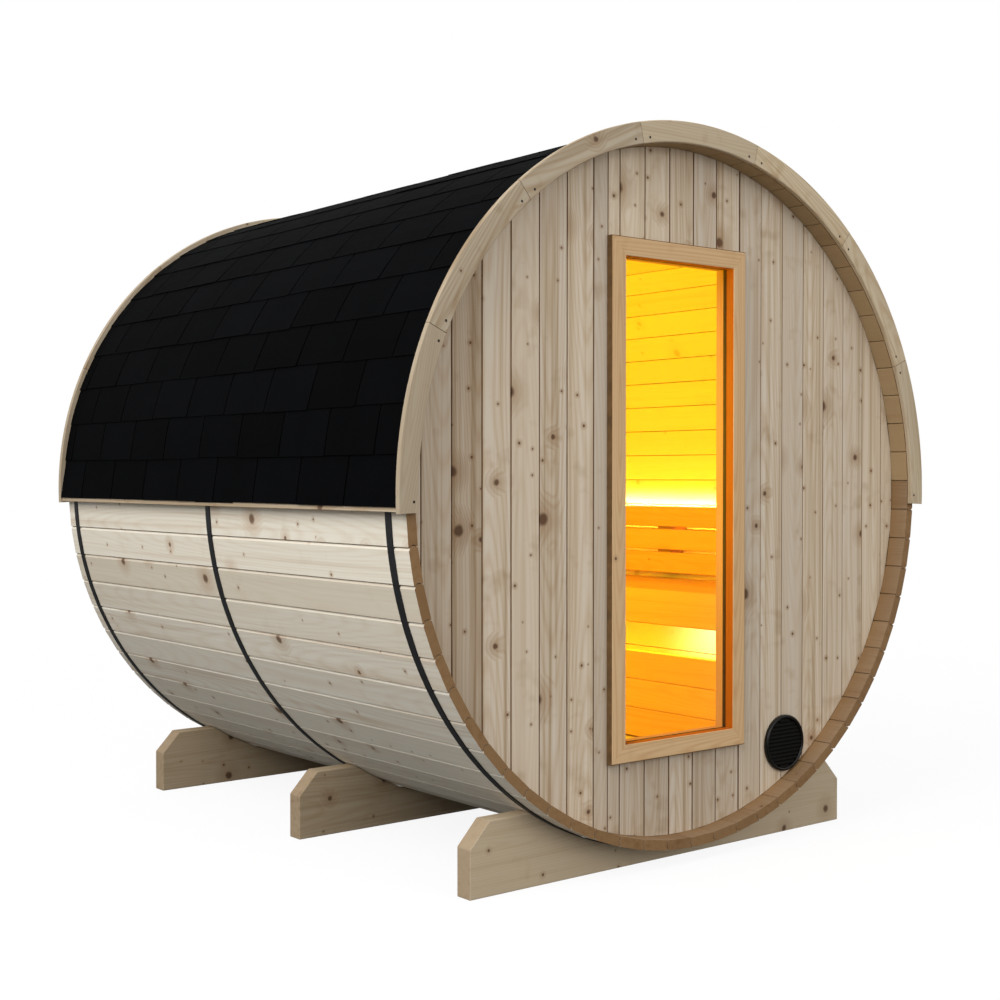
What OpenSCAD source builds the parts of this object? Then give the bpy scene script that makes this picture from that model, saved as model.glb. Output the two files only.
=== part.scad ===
// Barrel sauna, in millimetres. X right, Y back, Z up; origin on the ground at mid-length.

/* [Barrel] */
// radius over the corners of the staves
barrel_r = 1000; // [800:5:1200]
// length of the staves
barrel_len = 2000; // [1600:10:2600]
// thickness of a stave
stave_t = 28; // [20:1:45]
// staves in each bank
bank_staves = 6; // [4:1:8]
// turn of the first stave joint
stave_turn = 1.85; // [0:0.05:5]
// height of the barrel over the ground
ground_gap = 44; // [25:1:100]

/* [End walls] */
// depth of an end wall behind the stave ends
wall_recess = 60; // [30:1:120]
// thickness of an end wall
wall_t = 28; // [20:1:45]

/* [Window] */
// width over the frame
win_w = 530; // [400:5:700]
// height over the frame
win_h = 1440; // [900:10:1500]
// offset of the frame from the axis, to the right
win_x = -20; // [-100:1:100]
// offset of the frame from the axis, upwards
win_z = -21; // [-60:1:60]
// face width of a frame member
frame_w = 50; // [40:1:70]
// depth of a frame member
frame_d = 70; // [50:1:90]
// how far the frame stands out of the wall
frame_out = 21; // [10:1:30]
// thickness of the glass
glass_t = 6; // [4:1:10]
// depth of the glazing groove
groove = 8; // [6:1:12]

/* [Vent] */
// diameter of the grille, as a part of the barrel radius
vent_part = 0.17; // [0.12:0.01:0.18]
// width of the flange round the bore
vent_flange = 35; // [25:1:40]
// grille centre to the right of the axis, as a part of the barrel radius
vent_side = 0.44; // [0.4:0.01:0.48]
// grille centre below the axis, as a part of the barrel radius
vent_down = 0.762; // [0.7:0.002:0.77]
// depth of the grille in front of the wall
vent_t = 12; // [8:1:20]
// louvre bars
louvres = 13; // [7:2:17]

/* [Hoops] */
// width of a hoop
hoop_w = 26; // [15:1:40]
// thickness of a hoop
hoop_t = 2; // [1:0.5:4]
// centre of the front hoop from the front stave ends
hoop_front_at = 75; // [40:1:75]
// centre of the rear hoop from the front, as a part of the length
hoop_rear_part = 0.97; // [0.965:0.001:0.98]

/* [Cradles] */
// length of a cradle, as a part of the barrel radius
cradle_part = 1.474; // [1.3:0.002:1.6]
// thickness of a cradle
cradle_t = 55; // [40:1:60]
// height of a cradle
cradle_h = 198; // [150:1:240]
// width of the corner cut
cut_w = 63; // [30:1:90]
// height of the corner cut
cut_h = 67; // [30:1:90]
// front face of the middle cradle from the front, as a part of the length
cradle_mid_part = 0.4625; // [0.45:0.001:0.465]
// front face of the rear cradle from the front, as a part of the length
cradle_rear_part = 0.914; // [0.88:0.001:0.92]

/* [Roof] */
// thickness of the roof boards
deck_t = 8; // [6:0.5:20]
// thickness of the shingles
shingle_t = 5; // [3:0.5:8]
// roof boards in each bank
deck_boards = 11; // [8:1:14]
// angle of the eaves below the axis
eaves_drop = 2.25; // [1:0.05:4]
// height of an eaves board
eaves_h = 100; // [70:1:120]
// height of the eaves board left bare below the shingles
eaves_lip = 12; // [6:1:20]
// thickness of the fascia
fascia_t = 15; // [10:1:25]
// fascia boards round each end
fascia_boards = 7; // [5:1:9]
// how far the fascia stands out past the shingles
fascia_rise = 14; // [9:0.5:25]

/* [Bench] */
// seat top below the axis, as a part of the barrel radius
seat_part = 0.33; // [0.3:0.005:0.36]
// thickness of the seat
seat_t = 28; // [20:1:40]
// front of the bench from the axis, as a part of the barrel radius
bench_part = 0.44; // [0.4:0.01:0.48]
// thickness of bench boards
board_t = 22; // [16:1:30]
// height of the front board
apron_h = 115; // [80:1:130]
// top of the skirt below the axis, as a part of the barrel radius
skirt_part = 0.545; // [0.53:0.005:0.58]
// bottom of the bearers below the axis, as a part of the barrel radius
bearer_part = 0.64; // [0.6:0.01:0.7]
// thickness of a bearer
bearer_t = 40; // [30:1:60]
// middle bearer from the front, as a part of the length
bearer_mid_part = 0.68; // [0.6:0.01:0.75]
// top of the backrest below the axis, as a part of the barrel radius
back_part = 0.065; // [0.04:0.005:0.09]
// clear height between the seat and the backrest
back_clear = 22; // [12:1:40]
// gap between backrest slats
slat_gap = 10; // [5:1:15]
// backrest face from the axis, as a part of the barrel radius
back_face = 0.85; // [0.8:0.005:0.87]
// width of a backrest bracket
bracket_w = 66; // [40:1:90]

/* [Fit] */
// play between pieces that meet
play = 0.3; // [0.2:0.05:0.5]
// gap between boards of one bank
board_gap = 0.6; // [0.4:0.1:1.5]

/* [Hidden] */
$fn = 240;
banks = 11;
axis_h = barrel_r + ground_gap;
y0 = -barrel_len / 2;
y1 = barrel_len / 2;
stave_step = 360 / (banks * bank_staves);
stave_out = barrel_r * cos(stave_step / 2);
stave_in = stave_out - stave_t;
wall_r = stave_in - play;
wall_front = y0 + wall_recess;
wall_back = y1 - wall_recess;
room0 = wall_front + wall_t + play;
room1 = wall_back - wall_t - play;
win_x0 = win_x - win_w / 2;
win_x1 = win_x + win_w / 2;
win_z0 = axis_h + win_z - win_h / 2;
win_z1 = axis_h + win_z + win_h / 2;
frame_y = wall_front - frame_out;
glass_y = frame_y + frame_d / 2;
seal_t = glass_t + 5;
hoop_r = barrel_r + play / 2;
deck_in = hoop_r + hoop_t + play;
deck_out = deck_in + deck_t;
deck_from = asin(eaves_h / deck_out) - eaves_drop;
deck_step = (180 - 2 * deck_from) / (3 * deck_boards);
shingle_in = deck_out / cos(deck_step / 2) + play;
shingle_out = shingle_in + shingle_t;
roof_r = shingle_out + fascia_rise;
eaves_half = (deck_from + eaves_drop) / 2;
eaves_turn = (deck_from - eaves_drop) / 2;
eaves_out = roof_r * cos(eaves_half) - shingle_t - 2 * play;
eaves_low = eaves_out * tan(eaves_half) - board_gap / 2;
eaves_top = deck_out * tan(eaves_half) - board_gap / 2;
eaves_lean = (deck_out - eaves_out) / (eaves_low + eaves_top);
fascia_from = -eaves_drop - 0.25;
fascia_step = (180 - 2 * fascia_from) / fascia_boards;
saddle_r = barrel_r + play;
hoop_front_y = y0 + hoop_front_at;
hoop_rear_y = y0 + barrel_len * hoop_rear_part;
cradle_front_y = hoop_front_y + hoop_w / 2 + 1;
cradle_mid_y = y0 + barrel_len * cradle_mid_part;
cradle_rear_y = y0 + barrel_len * cradle_rear_part;
cradle_len = barrel_r * cradle_part;
vent_d = barrel_r * vent_part;
vent_bore = vent_d - 2 * vent_flange;
vent_x = barrel_r * vent_side;
vent_drop = barrel_r * vent_down;
bench_x = barrel_r * bench_part;
seat_drop = barrel_r * seat_part;
skirt_drop = barrel_r * skirt_part;
bearer_drop = barrel_r * bearer_part;
back_x = barrel_r * back_face;
back_drop = barrel_r * back_part;
slat_h = (seat_drop - back_drop - back_clear - 2 * slat_gap) / 3;
seat_z = axis_h - seat_drop;
seat_x = bench_x + board_t + play;
seat_out = sqrt(pow(stave_in, 2) - pow(seat_drop + seat_t, 2)) - play;
skirt_x = bench_x + 30;
skirt_low = sqrt(pow(stave_in, 2) - pow(skirt_x + board_t, 2)) - play;
bearer_x = skirt_x + board_t + play;
bearer_top = seat_drop + seat_t + play;
bearer_out = sqrt(pow(stave_in, 2) - pow(bearer_drop, 2)) - play;
back_low = back_drop + 3 * slat_h + 2 * slat_gap;
bracket_x = back_x + board_t + play;
bracket_top = back_drop + 40;
bracket_out = sqrt(pow(stave_in, 2) - pow(bracket_top, 2)) - play;
bracket_low = sqrt(pow(stave_in, 2) - pow(back_low, 2)) - play;
strip_w = 12;
strip_h = 18;
vent_z = axis_h - vent_drop;
bearer_y = [room0 + 60, y0 + barrel_len * bearer_mid_part, room1 - 60 - bearer_t];
bracket_y = [room0 + 60, y0 + barrel_len / 2 - bracket_w / 2, room1 - 60 - bracket_w];

// a flat board lying round the barrel: centre angle, half angle, inner and outer distance
module board(turn, half, d0, d1, a, b) {
  w0 = d0 * tan(half) - board_gap / 2;
  w1 = d1 * tan(half) - board_gap / 2;
  translate([0, b, axis_h])
    rotate([90, 0, 0])
      rotate([0, 0, turn])
        linear_extrude(height = b - a)
          polygon([[d0, -w0], [d1, -w1], [d1, w1], [d0, w0]]);
}

// a curved shell round the barrel between two radii and two angles
module shell(r0, r1, from, sweep, a, b) {
  translate([0, b, axis_h])
    rotate([90, 0, 0])
      rotate([0, 0, from])
        rotate_extrude(angle = sweep)
          translate([r0, 0])
            square([r1 - r0, b - a]);
}

// a flat plate in the plane of an end wall, from a list of points about the axis
module plate(points, a, b) {
  translate([0, b, axis_h])
    rotate([90, 0, 0])
      linear_extrude(height = b - a)
        polygon(points);
}

// a box between two corners
module box(p, q) {
  translate(p)
    cube([q[0] - p[0], q[1] - p[1], q[2] - p[2]]);
}

// the round disc of an end wall
module disc(a) {
  translate([0, a + wall_t, axis_h])
    rotate([90, 0, 0])
      cylinder(r = wall_r, h = wall_t);
}

module stave_bank(n) {
  color("burlywood")
    for (i = [0 : bank_staves - 1])
      board(stave_turn + (n * bank_staves + i + 0.5) * stave_step, stave_step / 2,
        stave_in, stave_out, y0, y1);
}

module staves_01() { stave_bank(0); }
module staves_02() { stave_bank(1); }
module staves_03() { stave_bank(2); }
module staves_04() { stave_bank(3); }
module staves_05() { stave_bank(4); }
module staves_06() { stave_bank(5); }
module staves_07() { stave_bank(6); }
module staves_08() { stave_bank(7); }
module staves_09() { stave_bank(8); }
module staves_10() { stave_bank(9); }
module staves_11() { stave_bank(10); }

module deck_bank(n) {
  color("tan")
    for (i = [0 : deck_boards - 1])
      board(deck_from + (n * deck_boards + i + 0.5) * deck_step, deck_step / 2,
        deck_in, deck_out, y0, y1);
}

module roof_deck_right() { deck_bank(0); }
module roof_deck_top() { deck_bank(1); }
module roof_deck_left() { deck_bank(2); }

// a prism along the barrel, from points about the direction of the eaves; side is 1 or -1
module eaves_prism(side, points) {
  translate([0, y1, axis_h])
    rotate([90, 0, 0])
      rotate([0, 0, side * eaves_turn])
        linear_extrude(height = y1 - y0)
          polygon([for (p = points) [side * p[0], p[1]]]);
}

// the lowest course, which lies out over the eaves board
module eaves_course(side) {
  low = eaves_lip - eaves_low;
  face = eaves_out + eaves_lean * eaves_lip + play;
  color("#141416")
    eaves_prism(side, [
      [face, low],
      [face + shingle_t, low],
      [deck_out + play + shingle_t, eaves_top],
      [deck_out + play, eaves_top]
    ]);
}

module shingle_bank(n) {
  sweep = (180 - 2 * deck_from) / 3;
  edge = 0.02;
  color("#141416")
    shell(shingle_in, shingle_out, deck_from + n * sweep + edge, sweep - 2 * edge, y0, y1);
}

module shingles_right() {
  shingle_bank(0);
  eaves_course(1);
}

module shingles_top() { shingle_bank(1); }

module shingles_left() {
  shingle_bank(2);
  eaves_course(-1);
}

// a wedge, thick at its lower edge and as thick as the roof boards at its upper one
module eaves_board(side) {
  back = deck_in * tan(eaves_half) - board_gap / 2;
  color("tan")
    eaves_prism(side, [
      [deck_in, -back],
      [eaves_out, -eaves_low],
      [deck_out, eaves_top],
      [deck_in, back]
    ]);
}

module eaves_right() { eaves_board(1); }
module eaves_left() { eaves_board(-1); }

module fascia(a) {
  color("burlywood")
    for (i = [0 : fascia_boards - 1])
      shell(stave_in, roof_r, fascia_from + i * fascia_step + 0.03, fascia_step - 0.06,
        a, a + fascia_t - play);
}

module fascia_front() { fascia(y0 - fascia_t); }
module fascia_rear() { fascia(y1 + play); }

module hoop(y) {
  color("#18181a")
    translate([0, y + hoop_w / 2, axis_h])
      rotate([90, 0, 0])
        difference() {
          cylinder(r = hoop_r + hoop_t, h = hoop_w);
          translate([0, 0, -1])
            cylinder(r = hoop_r, h = hoop_w + 2);
        }
}

module hoop_front() { hoop(hoop_front_y); }
module hoop_middle() { hoop(cradle_mid_y + cradle_t + hoop_w / 2 + 7); }
module hoop_rear() { hoop(hoop_rear_y); }

module cradle(y) {
  half = cradle_len / 2;
  color("wheat")
    translate([0, y + cradle_t, 0])
      rotate([90, 0, 0])
        difference() {
          linear_extrude(height = cradle_t)
            polygon([
              [-half, 0],
              [half, 0],
              [half, cradle_h - cut_h],
              [half - cut_w, cradle_h],
              [-half + cut_w, cradle_h],
              [-half, cradle_h - cut_h]
            ]);
          translate([0, axis_h, -1])
            cylinder(r = saddle_r, h = cradle_t + 2);
        }
}

module cradle_front() { cradle(cradle_front_y); }
module cradle_middle() { cradle(cradle_mid_y); }
module cradle_rear() { cradle(cradle_rear_y); }

module front_wall_left() {
  color("wheat")
    intersection() {
      disc(wall_front);
      box([-barrel_r, wall_front - 1, 0], [win_x0 - play, wall_front + wall_t + 1, 3 * barrel_r]);
    }
}

module front_wall_right() {
  color("wheat")
    difference() {
      intersection() {
        disc(wall_front);
        box([win_x1 + play, wall_front - 1, 0], [barrel_r, wall_front + wall_t + 1, 3 * barrel_r]);
      }
      translate([vent_x, wall_front + wall_t + 1, vent_z])
        rotate([90, 0, 0])
          cylinder(d = vent_bore, h = wall_t + 2);
    }
}

module front_wall_top() {
  color("wheat")
    intersection() {
      disc(wall_front);
      box([win_x0, wall_front - 1, win_z1 + play], [win_x1, wall_front + wall_t + 1, 3 * barrel_r]);
    }
}

module front_wall_bottom() {
  color("wheat")
    intersection() {
      disc(wall_front);
      box([win_x0, wall_front - 1, 0], [win_x1, wall_front + wall_t + 1, win_z0 - play]);
    }
}

module rear_wall() {
  color("wheat")
    disc(wall_back - wall_t);
}

// the groove that holds the glass all round
module glazing_groove() {
  box([win_x0 + frame_w - groove, glass_y - seal_t / 2 - play, win_z0 + frame_w - groove],
    [win_x1 - frame_w + groove, glass_y + seal_t / 2 + play, win_z1 - frame_w + groove]);
}

module stile(x_out, x_in) {
  plate([
    [x_out, win_z0 - axis_h + play / 2],
    [x_in, win_z0 - axis_h + frame_w + play / 2],
    [x_in, win_z1 - axis_h - frame_w - play / 2],
    [x_out, win_z1 - axis_h - play / 2]
  ], frame_y, frame_y + frame_d);
}

module window_stiles() {
  color("peru")
    difference() {
      union() {
        stile(win_x0, win_x0 + frame_w);
        stile(win_x1, win_x1 - frame_w);
      }
      glazing_groove();
    }
}

module rail(z_out, z_in) {
  plate([
    [win_x0 + play / 2, z_out - axis_h],
    [win_x1 - play / 2, z_out - axis_h],
    [win_x1 - frame_w - play / 2, z_in - axis_h],
    [win_x0 + frame_w + play / 2, z_in - axis_h]
  ], frame_y, frame_y + frame_d);
}

module window_rails() {
  color("peru")
    difference() {
      union() {
        rail(win_z0, win_z0 + frame_w);
        rail(win_z1, win_z1 - frame_w);
      }
      glazing_groove();
    }
}

module window_glass() {
  grip = 3;
  color([0.75, 0.85, 0.85, 0.4])
    box([win_x0 + frame_w - grip, glass_y - glass_t / 2, win_z0 + frame_w - grip],
      [win_x1 - frame_w + grip, glass_y + glass_t / 2, win_z1 - frame_w + grip]);
}

module glazing_seal() {
  lip = 3;
  color("#141416")
    difference() {
      box([win_x0 + frame_w - groove + play, glass_y - seal_t / 2, win_z0 + frame_w - groove + play],
        [win_x1 - frame_w + groove - play, glass_y + seal_t / 2, win_z1 - frame_w + groove - play]);
      box([win_x0 + frame_w + lip, glass_y - seal_t, win_z0 + frame_w + lip],
        [win_x1 - frame_w - lip, glass_y + seal_t, win_z1 - frame_w - lip]);
      box([win_x0 + frame_w - lip - play, glass_y - glass_t / 2 - play / 2, win_z0 + frame_w - lip - play],
        [win_x1 - frame_w + lip + play, glass_y + glass_t / 2 + play / 2, win_z1 - frame_w + lip + play]);
    }
}

module vent_grille() {
  rim = 10;
  inner = vent_d / 2 - rim;
  flange = 2;
  pitch = 2 * inner / louvres;
  sleeve = vent_bore / 2 - play;
  color("#101012")
    translate([vent_x, wall_front - play, vent_z])
      rotate([90, 0, 0]) {
        difference() {
          cylinder(d = vent_d, h = vent_t);
          translate([0, 0, flange])
            cylinder(r = inner, h = vent_t);
          translate([0, 0, -1])
            cylinder(r = sleeve - 3, h = vent_t);
        }
        translate([0, 0, -wall_t])
          difference() {
            cylinder(r = sleeve, h = wall_t + 1);
            translate([0, 0, -1])
              cylinder(r = sleeve - 3, h = wall_t + 3);
          }
        intersection() {
          cylinder(r = inner + 1, h = vent_t);
          for (i = [0 : louvres - 1])
            translate([-inner - 2, -inner + (i + 0.25) * pitch, flange + 1])
              cube([2 * inner + 4, pitch * 0.5, vent_t - flange - 3]);
        }
      }
}

module bench_seat() {
  color("tan")
    box([seat_x, room0, seat_z - seat_t], [seat_out, room1, seat_z]);
}

module bench_apron() {
  color("burlywood")
    box([bench_x, room0, seat_z - apron_h], [bench_x + board_t, room1, seat_z]);
}

module bench_skirt() {
  color("burlywood")
    box([skirt_x, room0, axis_h - skirt_low], [skirt_x + board_t, room1, axis_h - skirt_drop]);
}

module bench_bearers() {
  color("tan")
    for (y = bearer_y)
      plate([
        [bearer_x, -bearer_top],
        [seat_out, -bearer_top],
        [bearer_out, -bearer_drop],
        [bearer_x, -bearer_drop]
      ], y, y + bearer_t);
}

module backrest() {
  color("burlywood")
    for (i = [0 : 2])
      box([back_x, room0, axis_h - back_drop - i * (slat_h + slat_gap) - slat_h],
        [back_x + board_t, room1, axis_h - back_drop - i * (slat_h + slat_gap)]);
}

module backrest_brackets() {
  color("peru")
    for (y = bracket_y)
      plate([
        [bracket_x, -bracket_top],
        [bracket_out, -bracket_top],
        [bracket_low, -back_low],
        [bracket_x, -back_low]
      ], y, y + bracket_w);
}

module light_strip_back() {
  color("white")
    box([bracket_x, room0, axis_h - bracket_top + play],
      [bracket_x + strip_w, room1, axis_h - bracket_top + play + strip_h]);
}

module light_strip_seat() {
  color("white")
    box([seat_x + 4, room0, seat_z - seat_t - play - strip_w],
      [seat_x + 4 + strip_h, room1, seat_z - seat_t - play]);
}

staves_01();
staves_02();
staves_03();
staves_04();
staves_05();
staves_06();
staves_07();
staves_08();
staves_09();
staves_10();
staves_11();
roof_deck_right();
roof_deck_top();
roof_deck_left();
shingles_right();
shingles_top();
shingles_left();
eaves_left();
eaves_right();
fascia_front();
fascia_rear();
hoop_front();
hoop_middle();
hoop_rear();
cradle_front();
cradle_middle();
cradle_rear();
front_wall_left();
front_wall_right();
front_wall_top();
front_wall_bottom();
rear_wall();
window_stiles();
window_rails();
window_glass();
glazing_seal();
vent_grille();
bench_seat();
bench_apron();
bench_skirt();
bench_bearers();
backrest();
backrest_brackets();
light_strip_back();
light_strip_seat();
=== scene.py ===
import math

import bmesh
import bpy
import numpy as np
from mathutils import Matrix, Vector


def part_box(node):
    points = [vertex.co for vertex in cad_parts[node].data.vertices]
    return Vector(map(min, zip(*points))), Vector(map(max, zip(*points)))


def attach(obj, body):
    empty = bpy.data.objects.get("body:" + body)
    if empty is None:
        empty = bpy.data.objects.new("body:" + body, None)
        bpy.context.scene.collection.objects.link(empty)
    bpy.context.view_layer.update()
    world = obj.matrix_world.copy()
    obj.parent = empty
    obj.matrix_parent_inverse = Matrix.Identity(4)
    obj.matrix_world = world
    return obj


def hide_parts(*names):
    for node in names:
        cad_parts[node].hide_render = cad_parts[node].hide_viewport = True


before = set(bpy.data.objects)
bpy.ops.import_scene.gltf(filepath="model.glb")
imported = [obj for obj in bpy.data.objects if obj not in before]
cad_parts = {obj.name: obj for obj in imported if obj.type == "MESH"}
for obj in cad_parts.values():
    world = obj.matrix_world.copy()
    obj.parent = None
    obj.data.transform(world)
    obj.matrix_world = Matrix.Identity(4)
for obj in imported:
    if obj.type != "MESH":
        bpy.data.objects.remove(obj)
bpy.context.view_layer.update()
draw = np.random.default_rng(41)


def boxOf(node):
    # lowest and highest corner of a CAD node, as two arrays
    low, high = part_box(node)
    return np.array(low), np.array(high)


hoopLow, hoopHigh = boxOf("hoop_middle")
staveLow, staveHigh = boxOf("staves_01")
frontLow, frontHigh = boxOf("front_wall_left")
rearLow, rearHigh = boxOf("rear_wall")
stileLow, stileHigh = boxOf("window_stiles")
railLow, railHigh = boxOf("window_rails")
sealLow, sealHigh = boxOf("glazing_seal")
hoopRadius = (hoopHigh[0] - hoopLow[0]) / 2
axisZ = (hoopLow[2] + hoopHigh[2]) / 2  # height of the barrel's axis
barrelFront = staveLow[1]
barrelRear = staveHigh[1]
print("frame: axis at", round(float(axisZ), 3), "length", round(float(barrelRear - barrelFront), 3))


# materials

def fillInputs(tree, node, inputs):
    # each input of a shader node as a link or a plain value
    for key, value in inputs.items():
        if isinstance(value, bpy.types.NodeSocket):
            tree.links.new(value, node.inputs[key])
        else:
            node.inputs[key].default_value = value


def addNode(tree, kind, inputs=None, **props):
    # one shader node: its settings, then its inputs
    made = tree.nodes.new(kind)
    for key, value in props.items():
        setattr(made, key, value)
    fillInputs(tree, made, inputs or {})
    return made


def calc(tree, how, a, b=0.0):
    # one sum of two numbers
    return addNode(tree, "ShaderNodeMath", {0: a, 1: b}, operation=how).outputs[0]


def times(tree, product, *others):
    # several numbers multiplied together
    for value in others:
        product = calc(tree, "MULTIPLY", product, value)
    return product


def remap(tree, value, low, high, toLow=0.0, toHigh=1.0):
    # a number carried from one range to another, and held inside it
    inputs = {0: value, 1: low, 2: high, 3: toLow, 4: toHigh}
    return addNode(tree, "ShaderNodeMapRange", inputs).outputs[0]


def ramp(tree, fac, stops):
    # colours placed along 0 to 1
    made = addNode(tree, "ShaderNodeValToRGB", {0: fac})
    marks = made.color_ramp.elements
    while len(marks) < len(stops):
        marks.new(0.5)
    for mark, (place, colour) in zip(marks, stops):
        mark.position = place
        mark.color = (*colour, 1.0)
    return made.outputs[0]


def blendColour(tree, how, fac, a, b):
    # two colours blended by a factor, a plain one made solid first
    a, b = [(*value, 1.0) if isinstance(value, tuple) else value for value in (a, b)]
    return addNode(tree, "ShaderNodeMix", {0: fac, 6: a, 7: b}, data_type="RGBA", blend_type=how).outputs[2]


def noiseOf(tree, place, waves, detail=2.0, rough=0.5):
    # smooth noise from 0 to 1, with the same waves per metre every way or a number of its own for each axis
    if isinstance(waves, tuple):
        place = addNode(tree, "ShaderNodeVectorMath", {0: place, 1: waves}, operation="MULTIPLY").outputs[0]
        waves = 1.0
    inputs = {"Vector": place, "Scale": waves, "Detail": detail, "Roughness": rough}
    return addNode(tree, "ShaderNodeTexNoise", inputs).outputs[0]


def bumpOf(tree, height, strength, distance):
    # a surface direction tilted by the slope of a height
    inputs = {"Height": height, "Strength": strength, "Distance": distance}
    return addNode(tree, "ShaderNodeBump", inputs).outputs[0]


def readAttribute(tree, name):
    # a number that the mesh carries
    return addNode(tree, "ShaderNodeAttribute", attribute_name=name).outputs["Fac"]


def objectPlace(tree):
    # coordinates in metres from the object's origin
    return addNode(tree, "ShaderNodeTexCoord").outputs["Object"]


def newMaterial(name):
    # an empty node material with its output and one Principled shader
    made = bpy.data.materials.new(name)
    made.use_nodes = True
    tree = made.node_tree
    return made, tree, tree.nodes["Principled BSDF"]


def plankPlace(tree, along):
    # board coordinates: along the grain, across it and into it
    if along == "own":
        return addNode(tree, "ShaderNodeAttribute", attribute_name="grain").outputs["Vector"]
    turn = {"x": (0, 0, 0), "y": (0, 0, math.pi / 2)}[along]
    return addNode(tree, "ShaderNodeMapping", {"Vector": objectPlace(tree), "Rotation": turn}).outputs[0]


def lookOf(pale, mid, brown, **changes):
    # the shared habits of planed spruce, with this piece's colours and changes
    look = {
        "pale": pale, "mid": mid, "brown": brown,
        "toneLow": (0.76, 0.72, 0.67), "toneHigh": (1.12, 1.12, 1.12),
        "endTint": (0.37, 0.265, 0.175), "calmTint": (0.90, 0.77, 0.55), "calmBold": 0.3,
        # waves per metre along a board, across it and into it
        "fibreWaves": (9.0, 420.0, 420.0), "fibreRough": 0.65, "fibreDepth": 0.20,
        "streakWaves": (0.7, 55.0, 55.0), "streakRough": 0.6, "streakStops": (0.30, 0.46, 0.62),
        "smudgeWaves": (12.0, 9.0, 9.0), "smudgeFrom": 0.60, "smudgeTo": 0.76,
        "smudge": 0.60, "smudgeTint": (0.70, 0.61, 0.50),
        "wobbleWaves": (1.6, 9.0, 9.0), "wobble": 0.016,
        "rings": 900.0,  # ring waves per metre, in radians
        "ringDepth": 0.42, "ringTint": (0.72, 0.54, 0.37), "ringLeast": 0.2,
        "lateSharp": 2.4,  # how narrow the dark late wood is
        "sway": 0.030, "swayRate": 2.1,  # how far and how fast the pith wanders from the face
        "knots": 0.22, "knotScale": 5.2,  # share of cells that hold one, and cells per metre
        "pins": 0.22, "pinScale": 11.0,
        "knotCore": 0.068, "knotEdge": 0.30, "pinCore": 0.040, "pinEdge": 0.14,  # radii in cells
        "knotLeast": 0.55, "knotMost": 1.25,  # sizes as parts of the mean
        "knotScatter": 0.9, "coreSoft": 0.25, "raggedWaves": 90.0, "ragged": 0.25,
        "knotBend": 0.016,  # how far the rings give way round a knot
        "knot": (0.085, 0.040, 0.018), "knotDepth": 0.88, "knotRim": (0.27, 0.15, 0.07), "rimDepth": 0.36,
        "rough": 0.66, "roughPlay": 0.08, "fibreLow": 0.2, "fibreHigh": 0.8,
        "bump": 0.25, "bumpDeep": 0.0004, "shine": 0.2,
    }
    look.update(changes)
    return look


def knotField(tree, place, look, kind):
    # knots: round spots about scattered points in a share of the cells; gives a dark core and a soft rim
    core = look[kind + "Core"]
    inputs = {"Vector": place, "Scale": look[kind + "Scale"], "Randomness": look["knotScatter"]}
    cell = addNode(tree, "ShaderNodeTexVoronoi", inputs, voronoi_dimensions="2D").outputs
    lots = addNode(tree, "ShaderNodeSeparateColor", {0: cell["Color"]}).outputs
    keep = calc(tree, "GREATER_THAN", lots[0], 1.0 - look[kind + "s"])
    size = remap(tree, lots[1], 0.0, 1.0, look["knotLeast"], look["knotMost"])
    ragged = times(tree, noiseOf(tree, place, look["raggedWaves"], 0.0), look["ragged"] * core)
    gap = calc(tree, "DIVIDE", calc(tree, "ADD", cell["Distance"], ragged), size)
    dark = remap(tree, gap, core * (1 + look["coreSoft"]), core * (1 - look["coreSoft"]))
    soft = remap(tree, gap, look[kind + "Edge"], core)
    return times(tree, dark, keep), times(tree, soft, keep)


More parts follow.
